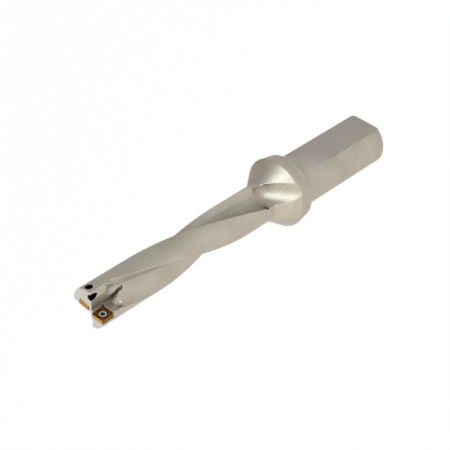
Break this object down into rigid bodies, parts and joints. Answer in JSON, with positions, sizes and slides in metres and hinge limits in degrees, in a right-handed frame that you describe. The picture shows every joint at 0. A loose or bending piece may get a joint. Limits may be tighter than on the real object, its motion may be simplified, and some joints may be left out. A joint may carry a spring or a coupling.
{
  "type": "indexable drill",
  "caption": "Indexable insert drill with two helical flutes, square inserts at the tip, a flared flange and a round shank with a clamping flat.",
  "frame": {"origin": "centre of the shank's rear face", "axes": "+Z along the tool's axis towards the tip, +Y the outward normal of the clamping flat, +X towards the outer insert's cutting corner"},
  "size_m": [0.034, 0.034, 0.1746],
  "materials": {
    "body_steel": "satin nickel-like",
    "insert_coating": "bronze-coloured coating",
    "screw_steel": "bright"
  },
  "bodies": {
    "root": {"drill_body": "body_steel", "outer_insert": "insert_coating", "inner_insert": "insert_coating", "outer_insert_screw": "screw_steel", "inner_insert_screw": "screw_steel"}
  },
  "joints": []
}
